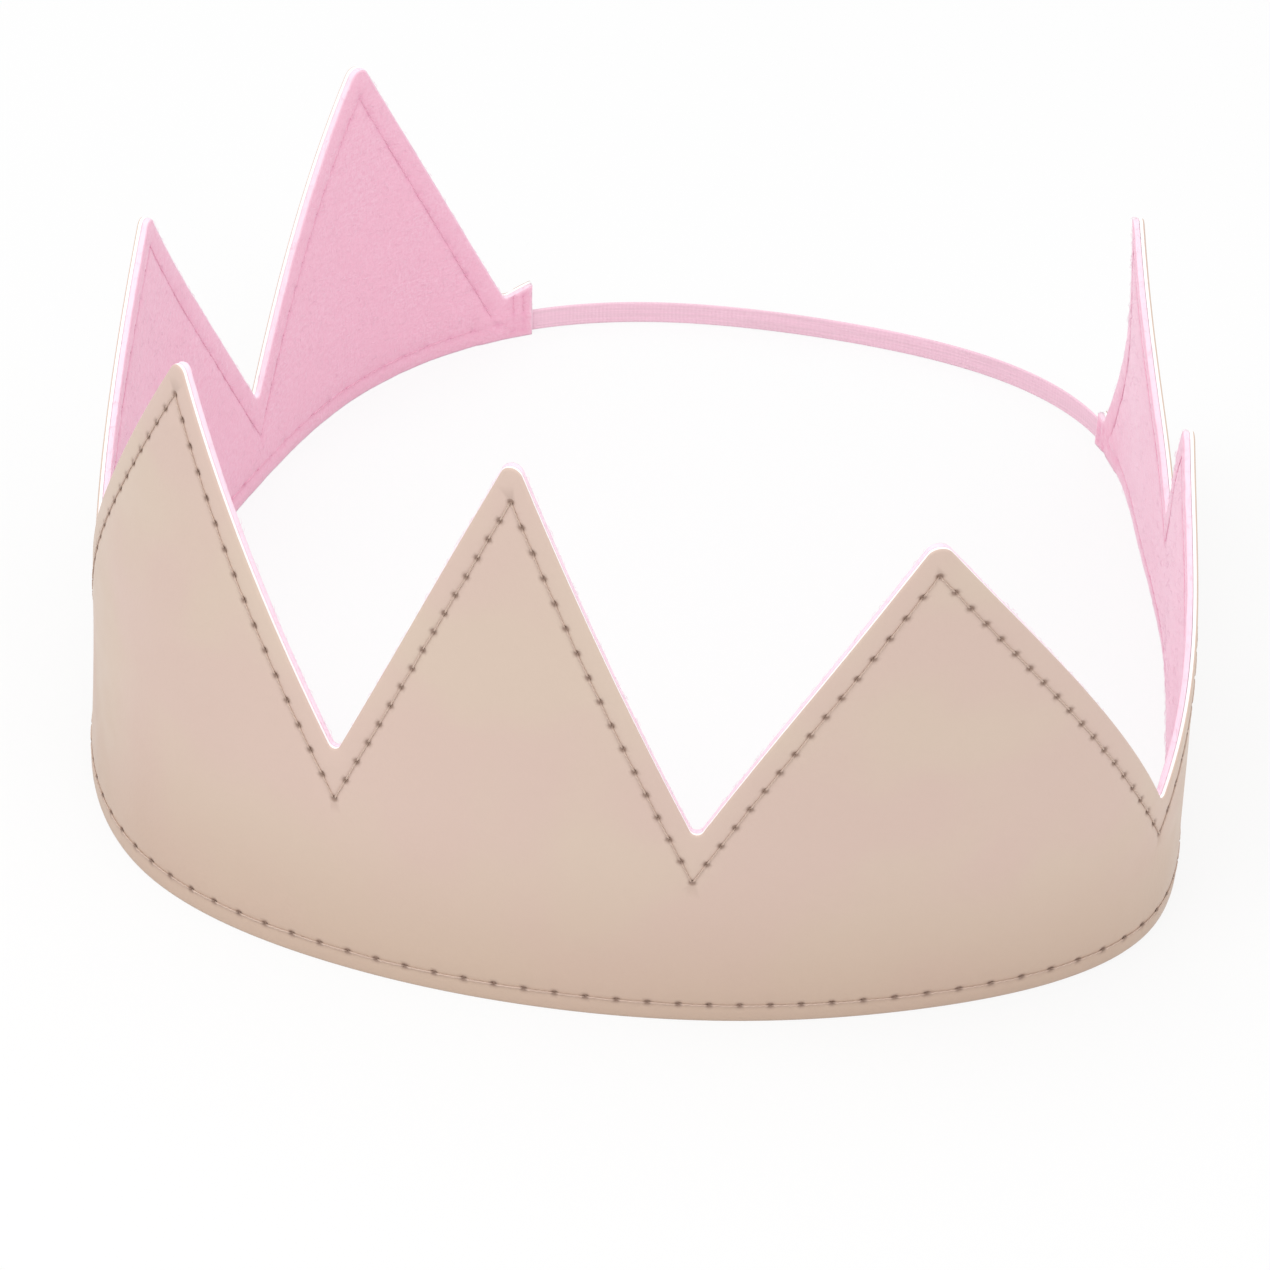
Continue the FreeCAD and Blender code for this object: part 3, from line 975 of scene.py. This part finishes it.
@dataclass
class FeltStrip(Sheet):
    """The inner layer: soft, cut with the outer one, and swollen where it covers the elastic's tails."""

    near: float = 0.75
    far: float = 1.65
    pocket: float = 0.55
    swell: float = 0.2
    tail: float = 8.0
    elastic_top: float = 3.8
    pocket_margin: float = 1.2
    sunk: float = 0.10
    fine_lump: float = 0.05
    broad_lump: float = 0.07
    soft_edge: float = 0.12
    # Strength of the painted shade along the seams and round the needle holes.
    seam_shade_strength: float = 0.16
    hole_shade_strength: float = 0.35
    cut_nap: float = 3.0

    def cover(self) -> np.ndarray:
        """How much each vertex lies over a tail of the elastic, from 0 to 1."""
        along, up = self.flat.flat[:, 0], self.flat.flat[:, 1]
        mark = self.wall.mark
        left = smooth((mark["left_end"] + self.tail + self.pocket_margin - along) / 1.6)
        right = smooth((along - mark["right_end"] + self.tail + self.pocket_margin) / 1.6)
        below = smooth((self.elastic_top + 0.9 - up) / 0.8)
        return np.clip(left + right, 0, 1) * below

    def build(self) -> bpy.types.Object:
        """Make the lining, dress it and give it to the crown."""
        flat = self.flat
        cover = self.cover()
        front = self.near + self.pocket * cover
        sunk = self.sunk * np.exp(-((flat.seam_gap / 0.6) ** 2))
        sunk += self.sunk * np.exp(-((flat.hole_gap / 0.5) ** 2))
        lumps = self.fine_lump * mottle(flat.flat, 1.6, 7.7)
        lumps += self.broad_lump * mottle(flat.flat, 5.0, 2.2)
        soft_edge = self.soft_edge * np.clip(1 - flat.edge_gap / 0.6, 0, 1) ** 2
        back = self.far + self.swell * cover - sunk + lumps - soft_edge
        rim = ((0.06, 0.0), (0.25, 0.06), (0.5, 0.09), (0.75, 0.07), (0.94, 0.01))
        piece = self.shell("felt_strip", front, back, rim, 9.1, 0.12)
        at_edge = np.clip(1 - flat.edge_gap / 0.35, 0, 1)
        cut = np.concatenate([np.zeros(len(front)), 0.6 * at_edge] + [np.ones(flat.rim)] * len(rim))
        # Painted shade along the seams and round the needle holes, stored for the material.
        seam = self.seam_shade_strength * np.exp(-((flat.seam_gap / 0.5) ** 2))
        seam += self.hole_shade_strength * np.exp(-((flat.hole_gap / 0.45) ** 2))
        stitch_shade = np.concatenate([np.zeros(len(front)), seam, np.zeros(flat.rim * len(rim))])
        clear = smooth((flat.flat[:, 1] - 0.8) / 0.8)
        at_rim = np.tile(self.cut_nap * clear[flat.edge], len(rim))
        nap = np.concatenate([np.zeros(len(front)), clear, at_rim])
        paint(piece, "layer", cut)
        paint(piece, "stitch_shade", np.clip(stitch_shade, 0, 1))
        paint(piece, "nap", nap)
        piece.data.materials.append(FeltFinish().build())
        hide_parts("felt_lining")
        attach(piece, "root")
        return piece


@dataclass
class FeltNap:
    """Loose curled fibres on the felt's inner face, thickest at its cut edge, with none at the foot."""

    felt: bpy.types.Object
    per_square_metre: float = 300000.0
    longest: float = 1.5
    shortest: float = 0.6
    thickness: float = 0.018
    seed: int = 5

    def fibre(self) -> bpy.types.Object:
        """One curled fibre a millimetre long, three-sided."""
        sides, steps = 3, 5
        places, faces = [], []
        for step in range(steps + 1):
            share = step / steps
            middle = (share - 0.5, 0.16 * math.sin(4.2 * share), 0.20 * math.sin(math.pi * share) - 0.03)
            size = self.thickness * (1.0 - 0.6 * abs(2 * share - 1))
            for side in range(sides):
                turn = 2 * math.pi * side / sides
                off = (size * math.cos(turn), size * math.sin(turn))
                places.append((middle[0], middle[1] + off[0], middle[2] + off[1]))
        for step in range(steps):
            for side in range(sides):
                here, there = step * sides + side, step * sides + (side + 1) % sides
                faces.append((here, there, there + sides, here + sides))
        faces += [(2, 1, 0), tuple(steps * sides + side for side in range(sides))]
        return make_mesh("fibre", np.array(places) * MM, faces)

    def build(self) -> bpy.types.Object:
        """Scatter the fibres and give them to the crown."""
        repeat = Repeater("felt_nap")
        g = repeat.graph
        fibre = repeat.ask("Fibre", InputKind.OBJECT)
        material = repeat.ask("Material", InputKind.MATERIAL)
        density = repeat.ask("Per square metre", InputKind.NUMBER)
        shortest = repeat.ask("Shortest", InputKind.NUMBER)
        longest = repeat.ask("Longest", InputKind.NUMBER)
        seed = repeat.ask("Seed", InputKind.WHOLE)
        skin = Socket(g, repeat.source.outputs["Geometry"])
        share = g.named("nap")
        points = g.node("GeometryNodeDistributePointsOnFaces", None,
                        {"Mesh": skin, "Density": share * density, "Seed": seed})
        turned = points.beside("Rotation")
        spin = g.node("FunctionNodeRandomValue", {"data_type": "FLOAT_VECTOR"},
                      {0: (-0.25, -0.35, 0.0), 1: (0.25, 0.35, 6.283), "Seed": seed})
        about = g.node("FunctionNodeEulerToRotation", None, {0: spin})
        turned = g.node("FunctionNodeRotateRotation", {"rotation_space": "LOCAL"}, {0: turned, 1: about})
        size = g.random(shortest, longest, seed)
        shape = g.node("GeometryNodeObjectInfo", None, {0: fibre}, "Geometry")
        many = g.node("GeometryNodeInstanceOnPoints", None,
                      {"Points": points, "Instance": shape, "Rotation": turned, "Scale": size})
        repeat.end(many, material)
        fibre_piece = self.fibre()
        carrier = show("nap_carrier", self.felt.data.copy())
        piece = repeat.bake(carrier, "felt_nap", {
            "Fibre": fibre_piece,
            "Material": NapFinish().build(),
            "Per square metre": self.per_square_metre,
            "Shortest": self.shortest,
            "Longest": self.longest,
            "Seed": self.seed,
        })
        bpy.data.objects.remove(fibre_piece)
        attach(piece, "root")
        return piece


def smooth(value: np.ndarray) -> np.ndarray:
    """A step from 0 to 1 that starts and ends gently."""
    value = np.clip(value, 0, 1)
    return value * value * (3 - 2 * value)


@dataclass
class ElasticStrap:
    """The narrow flat elastic behind, woven in ribs, with a tail caught at each end."""

    wall: Wall
    width: float = 3.4
    thickness: float = 0.42
    rise: float = 0.4
    depth: float = 1.025
    tail: float = 8.0
    ribs: int = 6
    rib_height: float = 0.04
    weft_height: float = 0.018
    weft_pitch: float = 0.75
    step: float = 0.3
    waver: float = 0.12
    lean: float = 0.10

    def build(self) -> bpy.types.Object:
        """Make the strap, dress it and give it to the crown."""
        start = self.wall.mark["right_end"] - self.tail
        end = self.wall.mark["left_end"] + self.wall.length + self.tail
        length = end - start
        count = round(length / self.step)
        across = 4 * self.ribs + 1
        profile = []
        for side in (1, -1):
            for step in range(across):
                share = step / (across - 1)
                rib = 0.5 + 0.5 * math.cos(2 * math.pi * share * self.ribs + math.pi)
                round_off = math.sqrt(max(0.0, 1 - abs(2 * share - 1) ** 8))
                half = self.thickness / 2 - self.rib_height + self.rib_height * rib
                half *= 0.35 + 0.65 * round_off
                profile.append((share if side == 1 else 1 - share, side * half))
        profile = np.array(profile)
        rows, patterns = [], []
        for index in range(count + 1):
            mark = start + length * index / count
            weft = self.weft_height * math.sin(2 * math.pi * mark / self.weft_pitch)
            share = np.clip((mark - start - self.tail) / (length - 2 * self.tail), 0, 1)
            middle = math.sin(math.pi * share)
            up = self.rise + self.width * profile[:, 0] + self.waver * middle * math.sin(mark / 9.0)
            lean = self.lean * middle * (profile[:, 0] - 0.5) * math.sin(mark / 13.0 + 1.0)
            depth = self.depth - profile[:, 1] * (1 + weft / 0.3) + lean
            along = np.full(len(profile), mark)
            rows.append(self.wall.place(along, up, depth))
            patterns.append(np.stack([along, profile[:, 0] * self.width], axis=1))
        size = len(profile)
        faces = []
        for index in range(count):
            for step in range(size):
                here, there = index * size + step, index * size + (step + 1) % size
                faces.append((here, here + size, there + size, there))
        faces += [tuple(range(size)), tuple(reversed(range(count * size, count * size + size)))]
        piece = make_mesh("elastic_strap", np.vstack(rows), faces)
        unwrap(piece, np.vstack(patterns))
        piece.data.materials.append(ElasticFinish().build())
        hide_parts("elastic_band")
        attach(piece, "root")
        return piece


class Face(Enum):
    """The two faces of the crown, with the way that a thread's height points."""

    OUTER = 1
    INNER = -1


@dataclass
class Stitching:
    """Every stitch that shows on one face, each going down into its needle holes."""

    wall: Wall
    seams: Seamwork
    face: Face
    name: str
    node: str
    depth: float
    radius: float
    arch: float
    sink: float
    seed: int
    finish: ThreadFinish
    ply_depth: float = 0.16
    twist: float = 14.0
    skew: float = 0.03

    def stitch(self) -> bpy.types.Object:
        """One stitch of unit length, twisted from two plies."""
        stops = (-0.5, -0.475, -0.43, -0.33, -0.12, 0.12, 0.33, 0.43, 0.475, 0.5)
        lifts = (-1.0, -0.45, 0.05, 0.75, 1.0, 1.0, 0.75, 0.05, -0.45, -1.0)
        sides = 6
        places, patterns, faces = [], [], []
        for stop, lift in zip(stops, lifts):
            height = (self.arch if lift > 0 else self.sink) * lift
            for side in range(sides):
                turn = 2 * math.pi * side / sides
                size = self.radius * (1 + self.ply_depth * math.cos(2 * turn + self.twist * stop))
                places.append((stop, size * math.cos(turn) * MM, (height + size * math.sin(turn)) * MM))
                patterns.append((side / sides, stop + 0.5))
        for ring in range(len(stops) - 1):
            for side in range(sides):
                here, there = ring * sides + side, ring * sides + (side + 1) % sides
                faces.append((here, there, there + sides, here + sides))
        last = (len(stops) - 1) * sides
        faces += [tuple(reversed(range(sides))), tuple(range(last, last + sides))]
        piece = make_mesh("stitch", np.array(places), faces)
        unwrap(piece, np.array(patterns))
        return piece

    def carrier(self) -> bpy.types.Object:
        """A point for each stitch, with its direction, its facing and its length."""
        starts = np.vstack([run[:-1] for run in self.seams.runs])
        ends = np.vstack([run[1:] for run in self.seams.runs])
        depth = np.full(len(starts), self.depth)
        one = self.wall.place(starts[:, 0], starts[:, 1], depth)
        two = self.wall.place(ends[:, 0], ends[:, 1], depth)
        middle = (starts + ends) / 2
        places = self.wall.place(middle[:, 0], middle[:, 1], depth)
        away = self.wall.facing(middle[:, 0], middle[:, 1]) * self.face.value
        piece = make_mesh("stitch_points", places, [])
        for name, values in (("run", two - one), ("facing", away)):
            layer = piece.data.attributes.new(name, "FLOAT_VECTOR", "POINT")
            layer.data.foreach_set("vector", values.astype(np.float32).ravel())
        paint(piece, "reach", np.linalg.norm(two - one, axis=1))
        return piece

    def build(self) -> bpy.types.Object:
        """Repeat the stitch, dress it and give it to the crown."""
        repeat = Repeater(self.name)
        g = repeat.graph
        shape = repeat.ask("Stitch", InputKind.OBJECT)
        material = repeat.ask("Material", InputKind.MATERIAL)
        seed = repeat.ask("Seed", InputKind.WHOLE)
        skew = repeat.ask("Skew", InputKind.NUMBER)
        points = Socket(g, repeat.source.outputs["Geometry"])
        run = g.named("run", "FLOAT_VECTOR")
        facing = g.named("facing", "FLOAT_VECTOR")
        reach = g.named("reach")
        level = g.node("FunctionNodeAlignRotationToVector", {"axis": "X"}, {"Vector": run})
        turned = g.node("FunctionNodeAlignRotationToVector", {"axis": "Z", "pivot_axis": "X"},
                        {"Rotation": level, "Vector": facing})
        yaw = g.random(skew * -1.0, skew, seed)
        about = g.node("FunctionNodeEulerToRotation", None,
                       {0: g.node("ShaderNodeCombineXYZ", None, {"Z": yaw})})
        turned = g.node("FunctionNodeRotateRotation", {"rotation_space": "LOCAL"}, {0: turned, 1: about})
        stout = g.random(0.9, 1.12, seed)
        size = g.node("ShaderNodeCombineXYZ", None, {"X": reach, "Y": stout, "Z": 1.0})
        one = g.node("GeometryNodeObjectInfo", None, {0: shape}, "Geometry")
        many = g.node("GeometryNodeInstanceOnPoints", None,
                      {"Points": points, "Instance": one, "Rotation": turned, "Scale": size})
        repeat.end(many, material)
        stitch = self.stitch()
        piece = repeat.bake(self.carrier(), self.name, {
            "Stitch": stitch, "Material": self.finish.build(), "Seed": self.seed,
            "Skew": self.skew,
        })
        bpy.data.objects.remove(stitch)
        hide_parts(self.node)
        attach(piece, "root")
        return piece


# The studio.

@dataclass
class Studio:
    """Floor, soft light and the photograph's viewpoint."""

    eye: tuple[float, float, float] = (0.21363, -0.99798, 0.72981)
    aim: tuple[float, float, float] = (-0.00526, -0.00559, 0.006375)
    roll: float = 1.646
    lens: float = 255.118
    air: float = 1.0
    overhead: float = 1.4
    overhead_place: tuple[float, float, float] = (-0.15, -0.20, 0.60)
    key: float = 0.8
    key_place: tuple[float, float, float] = (0.70, -0.50, 0.60)
    floor_half: float = 3.0
    floor_dark: tuple[float, float, float, float] = (0.76, 0.76, 0.76, 1.0)
    floor_light: tuple[float, float, float, float] = (0.79, 0.79, 0.79, 1.0)
    floor_white: float = 0.84

    def camera(self) -> None:
        """Create the camera and make it the scene's."""
        data = bpy.data.cameras.new("viewpoint")
        data.lens = self.lens
        data.sensor_width = 36.0
        data.clip_start = 0.01
        data.clip_end = 20.0
        piece = show("viewpoint", data)
        back = (Vector(self.eye) - Vector(self.aim)).normalized()
        right = Vector((0, 0, 1)).cross(back).normalized()
        up = back.cross(right)
        turn = math.radians(self.roll)
        rolled = right * math.cos(turn) + up * math.sin(turn)
        upright = up * math.cos(turn) - right * math.sin(turn)
        piece.matrix_world = Matrix((
            (rolled.x, upright.x, back.x, self.eye[0]),
            (rolled.y, upright.y, back.y, self.eye[1]),
            (rolled.z, upright.z, back.z, self.eye[2]),
            (0, 0, 0, 1),
        ))
        bpy.context.scene.camera = piece

    @staticmethod
    def seen(g: Graph) -> Socket:
        """1 for rays that show a background, straight or in a gloss."""
        names = ("Is Camera Ray", "Is Glossy Ray", "Is Transmission Ray")
        rays = g.node("ShaderNodeLightPath")
        parts = [rays.beside(name) for name in names]
        return parts[0].math("MAXIMUM", parts[1]).math("MAXIMUM", parts[2])

    def floor(self) -> None:
        """A pale floor that keeps the crown's shadow."""
        size = self.floor_half
        corners = np.array([(-size, -size, 0), (size, -size, 0), (size, size, 0), (-size, size, 0)])
        piece = make_mesh("floor", corners, [(0, 1, 2, 3)])
        material, g = new_material("paper_floor")
        where = g.node("ShaderNodeTexCoord", None, None, "Object")
        tone = g.blend(g.cloud(where, 3.0), self.floor_dark, self.floor_light)
        matte = g.node("ShaderNodeBsdfDiffuse", None, {"Color": tone})
        white = g.node("ShaderNodeEmission", None, {"Color": (1, 1, 1, 1), "Strength": 1.0})
        surface = g.node("ShaderNodeMixShader", None, {0: self.seen(g) * self.floor_white, 1: matte, 2: white})
        g.node("ShaderNodeOutputMaterial", None, {"Surface": surface})
        piece.data.materials.append(material)

    def lamp(self, name: str, place: Sequence[float], size: float, power: float) -> None:
        """A soft square lamp that looks at the crown."""
        data = bpy.data.lights.new(name, "AREA")
        data.shape = "SQUARE"
        data.size = size
        data.energy = power
        piece = show(name, data)
        piece.location = place
        way = Vector((0, 0, 0.04)) - Vector(place)
        piece.rotation_euler = way.to_track_quat("-Z", "Y").to_euler()

    def light(self) -> None:
        """White air all round, a broad lamp overhead and a softer one from the right."""
        world = bpy.data.worlds.new("air")
        world.use_nodes = True
        bpy.context.scene.world = world
        g = Graph(world.node_tree)
        sky = g.node("ShaderNodeBackground", None, {"Color": (1, 1, 1, 1), "Strength": self.air})
        g.node("ShaderNodeOutputWorld", None, {"Surface": sky})
        self.lamp("overhead", self.overhead_place, 0.5, self.overhead)
        self.lamp("key", self.key_place, 0.6, self.key)

    def build(self) -> None:
        """Set up the whole studio."""
        self.camera()
        self.floor()
        self.light()
        bpy.context.scene.view_settings.view_transform = "Standard"


def main() -> None:
    """Build the crown and its studio."""
    logging.basicConfig(level=logging.INFO, format="%(name)s: %(message)s")
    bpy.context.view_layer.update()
    Studio().build()
    wall = Wall()
    pattern = Pattern(wall)
    seams = Seamwork(pattern)
    fine = Grain(edge=0.7, rows=(0.14, 0.4, 0.9), seam_step=0.42,
                 seam_rows=(0.0, 0.22, -0.22, 0.45, -0.45, 0.85, -0.85),
                 rings=((0.18, 5), (0.36, 8), (0.58, 10)), body=1.7)
    soft = Grain(edge=1.0, rows=(0.3, 0.7), seam_step=0.6, seam_rows=(0.0, 0.35, -0.35, 0.8, -0.8),
                 rings=((0.4, 6),), body=1.5)
    pieces = [LeatheretteStrip(wall, FlatMesh(pattern, seams, fine)).build()]
    felt = FeltStrip(wall, FlatMesh(pattern, seams, soft)).build()
    nap = FeltNap(felt).build()
    pieces += [felt, nap, ElasticStrap(wall).build()]
    # The shadow and sunk colours are painted shade, between the plies and where each stitch goes into its
    # hole.
    taupe = ThreadFinish("needle_thread", ply=(206, 183, 168), shadow=(194, 169, 154), sunk=(150, 125, 111))
    pink = ThreadFinish("bobbin_thread", ply=(240, 186, 206), shadow=(232, 172, 195), sunk=(224, 160, 185))
    pieces.append(Stitching(wall, seams, Face.OUTER, "needle_stitches", "needle_thread", depth=0.0,
                            radius=0.13, arch=0.05, sink=0.30, seed=11, finish=taupe).build())
    pieces.append(Stitching(wall, seams, Face.INNER, "bobbin_stitches", "bobbin_thread", depth=1.50,
                            radius=0.12, arch=0.04, sink=0.35, seed=12, finish=pink).build())
    for piece in pieces:
        mesh = piece.data
        LOG.info("%s: %d vertices, %d faces", piece.name, len(mesh.vertices), len(mesh.polygons))


if __name__ == "__main__":
    main()
